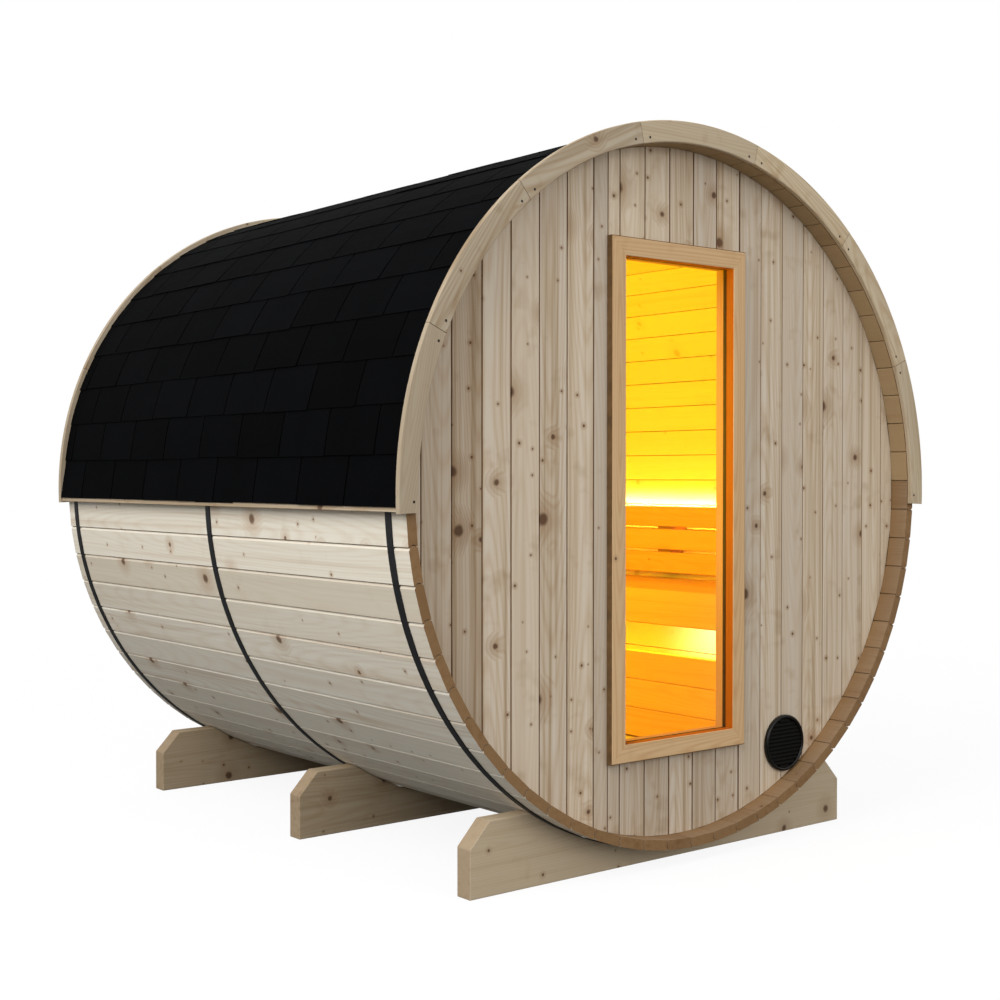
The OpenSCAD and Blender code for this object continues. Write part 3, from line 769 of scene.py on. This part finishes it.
def makeVent():
    # a rounded rim on a flange with a sleeve behind, crossed by leaning louvres cut to the circle
    low, high = boxOf("vent_grille")
    centre = np.array([(low[0] + high[0]) / 2, frontLow[1], (low[2] + high[2]) / 2])
    outer = (high[0] - low[0]) / 2
    inner = outer - ventSet["rim"]
    half, crown, recess = ventSet["rim"] / 2, ventSet["crown"], ventSet["recess"]
    sleeveOut, sleeveIn, deep = ventSet["sleeveOut"], ventSet["sleeveIn"], ventSet["sleeveDeep"]
    arc = np.linspace(math.pi, 0, ventSet["crownPoints"])
    front = low[1] - frontLow[1] + crown
    profile = np.concatenate([
        [[inner, -recess]],
        np.stack([outer - half + half * np.cos(arc), front - crown * np.sin(arc)], -1),
        [[outer, -ventSet["seat"]], [sleeveOut, -ventSet["seat"]], [sleeveOut, deep], [sleeveIn, deep],
         [sleeveIn, -recess]],
    ])
    points, faces = lathe(profile, [centre], ventSet["sides"])
    putPiece("vent_rim", points, faces, ventGloss, ["vent_grille"], smooth=True)
    pitch = 2 * inner / ventSet["bars"]
    z = centre[2] - inner + (np.arange(ventSet["bars"]) + 0.5) * pitch
    rise = np.abs(z - centre[2]) + ventSet["endSlope"] * pitch
    reach = np.sqrt(np.maximum(inner ** 2 - rise ** 2, 0.0)) + ventSet["endLap"]
    out = planedEdge(ventSet["blade"], ventSet["bladeThick"], ventSet["bladeCut"])
    c, s = math.cos(ventSet["lean"]), math.sin(ventSet["lean"])
    y = centre[1] - ventSet["bladeAt"] + (out[:, 0] * c - out[:, 1] * s)
    x = centre[0] + np.stack([-reach, reach], 1)[:, :, None]
    points = pointsOf(x, y, z[:, None, None] + out[:, 0] * s + out[:, 1] * c)
    putPiece("vent_louvres", points, barFaces(len(z), 2, len(out)), ventPlastic, None)


makeVent()
print("vent made")


# cradles

cradleSet = {
    "edge": 0.003, "arcPoints": 49, "cutWide": 0.063, "cutHigh": 0.067, "gap": 0.0004, "endStain": 0.37,
    "middle": 0.1,  # height of the grain's zero line
    # the middle and rear planks are toned darker: partly board tone, partly painted shade under the barrel
    "tones": {"cradle_front": 0.62, "cradle_middle": 0.34, "cradle_rear": 0.28},
}


def makeCradle(node, tone):
    # a plank outline with two cut corners and a round saddle, drawn through its thickness
    low, high = boxOf(node)
    radius = barrelRadius + cradleSet["gap"]
    edge = math.acos((axisZ - high[2]) / radius)
    turn = np.linspace(edge, -edge, cradleSet["arcPoints"])
    saddle = np.stack([radius * np.sin(turn), axisZ - radius * np.cos(turn)], -1)
    cw, ch = cradleSet["cutWide"], cradleSet["cutHigh"]
    foot = np.array([[low[0], low[2]], [high[0], low[2]], [high[0], high[2] - ch], [high[0] - cw, high[2]]])
    left = np.array([[low[0] + cw, high[2]], [low[0], high[2] - ch]])
    out = np.concatenate([foot, saddle, left])
    y = np.array([low[1], high[1]])[None, :, None]
    points = pointsOf(out[:, 0], y, out[:, 1])
    across = points[..., 2] - low[2] - cradleSet["middle"]
    grain = boardGrain(points[..., 0], across, points[..., 1] - low[1], 1)
    stain = np.zeros(len(out) + 2)
    stain[[1, 2, len(out) - 2, len(out) - 1]] = cradleSet["endStain"]  # upright ends and cut corners
    made = putPiece(node + "_plank", points, barFaces(1, 2, len(out)), cradleWood, [node],
                    grain, np.full(2 * len(out), tone), stainedAndShaded=stain)
    softEdges(made, cradleSet["edge"])


for cradleName, cradleTone in cradleSet["tones"].items():
    makeCradle(cradleName, cradleTone)
print("cradles made")


# fascia rings and their screws

fasciaSet = {
    "boards": 7, "steps": 18, "gap": 0.0016, "cut": 0.0022, "play": 0.0003,
    "from": math.radians(-2.5),
    "tones": (0.68, 0.82, 0.88, 0.70, 0.50, 0.40, 0.35),  # from the right round to the left: lightest over the top, darkest at the left
}
screwSet = {
    "radius": 0.0037, "sides": 14, "ring": 0.986, "turn": math.radians(1.6),
    # outline of a head as a part of its radius and a depth under the face
    "outline": ((1.0, 0.0015), (1.0, -0.0001), (0.85, -0.0003), (0.05, -0.0003), (0.02, 0.0015)),
}


def makeFascia(node):
    # seven curved boards: an eased rectangle carried along each arc, the grain straight along the chord
    low, high = boxOf(node)
    outer = (high[0] - low[0]) / 2
    inner = innerRadius + fasciaSet["play"]
    count, steps = fasciaSet["boards"], fasciaSet["steps"]
    span = (math.pi - 2 * fasciaSet["from"]) / count
    starts = fasciaSet["from"] + np.arange(count) * span
    out = planedEdge(outer - inner, high[1] - low[1], fasciaSet["cut"])
    loose = fasciaSet["gap"] / (inner + outer)
    turn = (starts[:, None] + np.linspace(loose, span - loose, steps)[None, :])[..., None]
    r = (inner + outer) / 2 + out[:, 0]
    y = (low[1] + high[1]) / 2 + out[:, 1]
    points = pointsOf(r * np.cos(turn), y, axisZ + r * np.sin(turn))
    off = turn - (starts + span / 2)[:, None, None]
    along, across, into = np.broadcast_arrays(r * np.sin(off), r * np.cos(off) - inner, y - low[1])
    grain = boardGrain(along, across, into, count)
    putPiece(node + "_boards", points, barFaces(count, steps, len(out)), trimWood, [node], grain,
             np.repeat(fasciaSet["tones"], steps * len(out)))
    ends = np.concatenate([starts + screwSet["turn"], starts + span - screwSet["turn"]])
    outward = -1 if low[1] < 0 else 1
    screwRow(node + "_screws", ends, low[1] if outward < 0 else high[1], outward)


def screwRow(name, turns, face, outward):
    # countersunk heads: a flat turned disc at each angle of a ring, a hair proud of the face
    x = screwSet["ring"] * np.cos(turns)
    z = axisZ + screwSet["ring"] * np.sin(turns)
    head = np.array(screwSet["outline"]) * [screwSet["radius"], -outward]
    points, faces = lathe(head, np.stack([x, 0 * x + face, z], -1), screwSet["sides"])
    putPiece(name, points, faces, screwSteel, None)


for fasciaName in ("fascia_front", "fascia_rear"):
    makeFascia(fasciaName)
print("fascia made")


# roof: eaves boards and shingles

roofSet = {
    "deckThick": 0.008, "hoopPlay": 0.0003, "eavesEdge": 0.0015,
    "courses": 13,  # on each side
    "climb": math.radians(7.08),
    "tab": 0.2285, "slot": 0.005, "firstSlot": 0.232,  # first slot from the front stave ends
    "least": 0.008,  # narrowest tab that is kept
    "edgeDrop": math.radians(1.5),
    "thick": 0.0019, "rise": 0.0042, "overlap": 0.136, "sink": 0.0004, "starterSink": 0.0006,
    "points": 6,  # along a tab
    "uneven": 0.0010, "lift": 0.0007, "liftFade": 0.05,  # how tabs differ in place and stand off
    "pastRidge": 0.01,
    "flareTop": math.radians(4.4), "flareBend": 1.2,  # the lowest course leans out over the eaves board
}
capSet = {"count": 14, "half": math.radians(6.2), "points": 9, "lap": 1.25, "rises": (0.0022, 0.0004)}
roofRadius = boxOf("shingles_top")[1][2] - axisZ
eavesReach = boxOf("shingles_right")[1][0]


def makeEaves(node):
    # a wedge at the foot of the roof: four corners, thick below and as thin as the deck above, drawn along Y
    low, high = boxOf(node)
    side = 1 if high[0] > 0 else -1
    outer = high[0] if side > 0 else -low[0]
    half = (high[2] - low[2]) / 2 / outer
    inner = (hoopRadius + roofSet["hoopPlay"]) / math.cos(half)
    thin = inner + roofSet["deckThick"]
    foot = math.atan2(low[2] - axisZ, outer)
    head = math.asin((high[2] - axisZ) / thin)
    out = np.array([[inner, foot], [math.hypot(outer, low[2] - axisZ), foot], [thin, head], [inner, head]])
    x, z = side * out[:, 0] * np.cos(out[:, 1]), axisZ + out[:, 0] * np.sin(out[:, 1])
    y = np.array([low[1], high[1]])[None, :, None]
    points = pointsOf(x, y, z)
    grain = boardGrain(points[..., 1], points[..., 2] - axisZ, points[..., 0] - side * inner, 1)
    made = putPiece(node + "_board", points, barFaces(1, 2, 4), trimWood, [node], grain,
                    boardTone(1, 8), stainedAndShaded=[0, 0, 0, 0, 1, 1])
    softEdges(made, roofSet["eavesEdge"])


def shingleTabs(side):
    # each tab is a thin curved plate whose lower edge stands proud of the course below;
    # courses climb by equal angles from the eaves to the ridge and step half a tab from one to the next,
    # and a starter course (number -1) lies under the first
    step, tab, thick = roofSet["climb"], roofSet["tab"], roofSet["thick"]
    perCourse = int(math.ceil((barrelRear - barrelFront) / tab)) + 1
    course, place = np.meshgrid(np.arange(-1, roofSet["courses"]), np.arange(perCourse), indexing="ij")
    course, place = course.ravel(), place.ravel()
    shift = roofSet["firstSlot"] % tab - tab * np.where(course % 2 == 0, 1.0, 0.5)
    y0 = np.clip(barrelFront + shift + place * tab + roofSet["slot"] / 2, barrelFront, barrelRear)
    y1 = np.clip(barrelFront + shift + (place + 1) * tab - roofSet["slot"] / 2, barrelFront, barrelRear)
    keep = y1 - y0 > roofSet["least"]
    course, y0, y1 = course[keep], y0[keep], y1[keep]
    count = len(course)
    run = step * roofRadius + roofSet["overlap"]
    s = np.linspace(0.0, run, roofSet["points"])
    uneven = draw.normal(0.0, roofSet["uneven"], count)
    lift = np.abs(draw.normal(0.0, roofSet["lift"], count))
    top = roofRadius - roofSet["sink"] - roofSet["rise"] * s / run
    s = np.concatenate([s, s[::-1]])
    r = np.concatenate([top, (top - thick)[::-1]])
    low = -roofSet["edgeDrop"] + np.maximum(course, 0) * step
    under = np.where(course < 0, thick + roofSet["starterSink"], 0.0)
    turn = (low + uneven / roofRadius)[:, None, None] + s / roofRadius
    turn = np.minimum(turn, math.pi / 2 + roofSet["pastRidge"])
    lean = np.clip((roofSet["flareTop"] - turn) / (roofSet["flareTop"] + roofSet["edgeDrop"]), 0, 1)
    flare = (eavesReach - roofRadius) * lean ** roofSet["flareBend"]
    r = r + lift[:, None, None] * np.exp(-s / roofSet["liftFade"]) + flare - under[:, None, None]
    y = np.stack([y0, y1], 1)[:, :, None]
    points = pointsOf(side * r * np.cos(turn), y, axisZ + r * np.sin(turn))
    return points, barFaces(count, 2, len(s)), np.repeat(draw.uniform(0, 1, count), 2 * len(s))


def ridgeCaps():
    # short curved plates lapped along the ridge, each one's free end a little higher than its tail
    count, half, size = capSet["count"], capSet["half"], 2 * capSet["points"]
    pitch = (barrelRear - barrelFront) / count
    turn = np.linspace(math.pi / 2 - half, math.pi / 2 + half, capSet["points"])
    turn = np.concatenate([turn, turn[::-1]])
    layer = np.repeat([0.0, -roofSet["thick"]], capSet["points"])
    start = barrelFront + np.arange(count) * pitch
    y = np.stack([start, np.minimum(start + pitch * capSet["lap"], barrelRear)], 1)[:, :, None]
    r = roofRadius + np.array(capSet["rises"])[None, :, None] + layer
    points = pointsOf(r * np.cos(turn), y, axisZ + r * np.sin(turn))
    return points, barFaces(count, 2, size), np.repeat(draw.uniform(0, 1, count), 2 * size)


for eavesName in ("eaves_left", "eaves_right"):
    makeEaves(eavesName)
for sideName, side in (("left", -1), ("right", 1)):
    points, faces, tone = shingleTabs(side)
    putPiece("shingle_tabs_" + sideName, points, faces, shingleFelt, ["shingles_" + sideName],
             tone=tone)
points, faces, tone = ridgeCaps()
putPiece("shingle_ridge", points, faces, shingleFelt, ["shingles_top"], tone=tone)
for deckName in ("roof_deck_right", "roof_deck_top", "roof_deck_left"):
    coatNode(deckName, deckWood)
print("roof made")


# bench, backrest and light strips

benchSet = {
    "cut": 0.0025, "stripCut": 0.002,
    # boards of each node, gap between them, play at the ends of the row, and whether they stand on edge
    "rows": {"bench_seat": (4, 0.006, 0.0, False), "bench_apron": (1, 0.0, 0.0, True),
             "bench_skirt": (3, 0.001, 0.0005, True), "backrest": (3, 0.010, 0.0, True)},
}


def boardRow(node, count, gap, play, onEdge, cut):
    # equal boards along the barrel that share a node's width, or its height where they stand on edge
    low, high = boxOf(node)
    way, other = (2, 0) if onEdge else (0, 2)
    wide = (high[way] - low[way] - 2 * play - (count - 1) * gap) / count
    specs = np.zeros((count, 5))
    specs[:, way // 2] = np.linspace(low[way] + play + wide / 2, high[way] - play - wide / 2, count)
    specs[:, other // 2] = (low[other] + high[other]) / 2
    specs[:, 2:] = wide, high[other] - low[other], math.pi / 2 if onEdge else 0.0
    return longBoards(specs, low[1], high[1], cut)


for node, row in benchSet["rows"].items():
    points, grain, faces, tone = boardRow(node, *row, benchSet["cut"])
    putPiece(node + "_boards", points, faces, benchWood, [node], grain, tone)
for node in ("bench_bearers", "backrest_brackets"):
    coatNode(node, bearerWood)
for node in ("light_strip_back", "light_strip_seat"):
    points, _, faces, _ = boardRow(node, 1, 0.0, 0.0, False, benchSet["stripCut"])
    putPiece(node + "_bar", points, faces, stripLight, [node])
print("bench made")


# lights, floor and camera

lightSet = {
    "sky": 0.76, "skyColour": (0.96, 0.98, 1.0, 1.0),
    "outerSize": 5.0,
    "key": 425.0, "keyAt": (-6.0, -1.7, 5.2), "keyAim": (0.0, 0.0, axisZ),
    "fill": 145.0, "fillAt": (0.6, -8.0, 2.6), "fillAim": (0.0, -0.9, axisZ),
    "strip": (1.0, 0.74, 0.001), "behind": (1.0, 0.42, 0.0),
    "halo": (1.0, 0.92, 0.60), "room": (1.0, 0.70, 0.0),
}
floorSet = {
    "half": 60.0,
    "bounce": 0.16,  # how much light the floor gives back
    "near": 1.8, "far": 6.0, "nearShare": 0.90,  # its own white grows from the near share to all of it
}
cameraSet = {"at": (-3.0938, -3.9655, 1.0924), "yaw": 38.80, "pitch": -0.935, "lens": 54.38, "sensor": 36.0}
white = (1.0, 1.0, 1.0, 1.0)


def putObject(name, data, at, turn):
    # an object of the scene at a place, turned by three angles
    made = bpy.data.objects.new(name, data)
    made.location = at
    made.rotation_euler = turn
    bpy.context.scene.collection.objects.link(made)
    return made


def outerLamp(name, at, aim, power):
    # a large square lamp, turned to face its aim
    data = bpy.data.lights.new(name, "AREA")
    data.energy = power
    data.size = lightSet["outerSize"]
    way = np.array(aim) - np.array(at)
    putObject(name, data, at, (math.acos(-way[2] / np.linalg.norm(way)), 0.0, math.atan2(-way[0], way[1])))


def innerLamp(name, at, aim, power, wide, colour, spread=180.0, middle=0.0, length=None):
    # a long lamp along Y, turned about Y so that it shines from its x and z towards its aim within its spread
    data = bpy.data.lights.new(name, "AREA")
    data.shape = "RECTANGLE"
    data.size = wide
    data.size_y = length or backHigh[1] - backLow[1]
    data.energy = power
    data.color = lightSet[colour]
    data.spread = math.radians(spread)
    turn = math.atan2(aim[0] - at[0], aim[1] - at[1]) + math.pi
    lamp = putObject(name, data, (at[0], middle, at[1]), (0.0, turn, 0.0))
    lamp.visible_camera = False


def makeStage():
    # a wide pale floor that reads white where light reaches it and keeps the shadow under the barrel
    corners = np.array([[-1, -1, 0], [1, -1, 0], [1, 1, 0], [-1, 1, 0]]) * floorSet["half"]
    mesh = bpy.data.meshes.new("floor")
    mesh.from_pydata(corners.tolist(), [], [[0, 1, 2, 3]])
    floor = putObject("floor", mesh, (0, 0, 0), (0, 0, 0))
    made = bpy.data.materials.new("paleFloor")
    made.use_nodes = True
    tree = made.node_tree
    tree.nodes.clear()
    eye = addNode(tree, "ShaderNodeLightPath").outputs["Is Camera Ray"]
    away = addNode(tree, "ShaderNodeVectorMath", {0: objectPlace(tree)}, operation="LENGTH").outputs["Value"]
    share = remap(tree, away, floorSet["near"], floorSet["far"], floorSet["nearShare"], 1.0)
    back = remap(tree, eye, 0.0, 1.0, floorSet["bounce"], 1.0)
    matt = addNode(tree, "ShaderNodeBsdfDiffuse", {"Color": back}).outputs[0]
    glow = addNode(tree, "ShaderNodeEmission", {"Color": white, "Strength": 1.0}).outputs[0]
    both = addNode(tree, "ShaderNodeMixShader", {0: times(tree, eye, share), 1: matt, 2: glow}).outputs[0]
    addNode(tree, "ShaderNodeOutputMaterial", {0: both})
    mesh.materials.append(made)


def makeWorld():
    # soft even sky for light, plain white to the eye and in reflections
    world = bpy.data.worlds.new("sky")
    bpy.context.scene.world = world
    world.use_nodes = True
    tree = world.node_tree
    tree.nodes.clear()
    path = addNode(tree, "ShaderNodeLightPath").outputs
    seen = calc(tree, "MAXIMUM", path["Is Glossy Ray"], path["Is Transmission Ray"])
    seen = calc(tree, "MAXIMUM", path["Is Camera Ray"], seen)
    soft = addNode(tree, "ShaderNodeBackground", {0: lightSet["skyColour"], 1: lightSet["sky"]}).outputs[0]
    plain = addNode(tree, "ShaderNodeBackground", {0: white, 1: 1.0}).outputs[0]
    both = addNode(tree, "ShaderNodeMixShader", {0: seen, 1: soft, 2: plain}).outputs[0]
    addNode(tree, "ShaderNodeOutputWorld", {0: both})


makeStage()
makeWorld()
outerLamp("keyLamp", lightSet["keyAt"], lightSet["keyAim"], lightSet["key"])
outerLamp("fillLamp", lightSet["fillAt"], lightSet["fillAim"], lightSet["fill"])
backLow, backHigh = boxOf("light_strip_back")
seatLow, seatHigh = boxOf("light_strip_seat")
backX, backTop, backFoot = backHigh[0], backHigh[2], backLow[2]
seatX, seatFoot = seatHigh[0], seatLow[2]
innerLamps = (
    # name, place and aim as x and z, power, width, colour, spread, middle along the barrel, length
    ("backLamp", (backX + 0.006, backTop + 0.002), (backX + 0.3, backTop + 0.8), 2.4, 0.012, "strip"),
    ("haloLamp", (backX + 0.030, backTop - 0.010), (innerRadius - 0.006, backTop + 0.026),
     1.8, 0.008, "halo", 55.0),
    ("behindLamp", (backX + 0.012, backFoot - 0.006), (innerRadius - 0.03, backFoot - 0.06),
     2.0, 0.008, "behind", 105.0),
    ("seatLamp", (seatX - 0.004, seatFoot - 0.004), (seatX + 0.3, seatFoot - 0.5), 7.5, 0.012, "strip"),
    ("endLamp", (seatX + 0.10, seatFoot - 0.004), (innerRadius, seatFoot - 0.16),
     0.8, 0.012, "halo", 90.0, -0.36, 0.22),
    ("roomLamp", (-0.62, axisZ + 0.16), (0.8, axisZ + 0.04), 39.0, 0.6, "room"),
)
for lampSet in innerLamps:
    innerLamp(*lampSet)

cameraData = bpy.data.cameras.new("photoCamera")
cameraData.sensor_fit = "HORIZONTAL"
cameraData.sensor_width = cameraSet["sensor"]
cameraData.lens = cameraSet["lens"]
cameraTurn = (math.radians(90 + cameraSet["pitch"]), 0.0, math.radians(-cameraSet["yaw"]))
bpy.context.scene.camera = putObject("photoCamera", cameraData, cameraSet["at"], cameraTurn)
bpy.context.scene.view_settings.view_transform = "Standard"
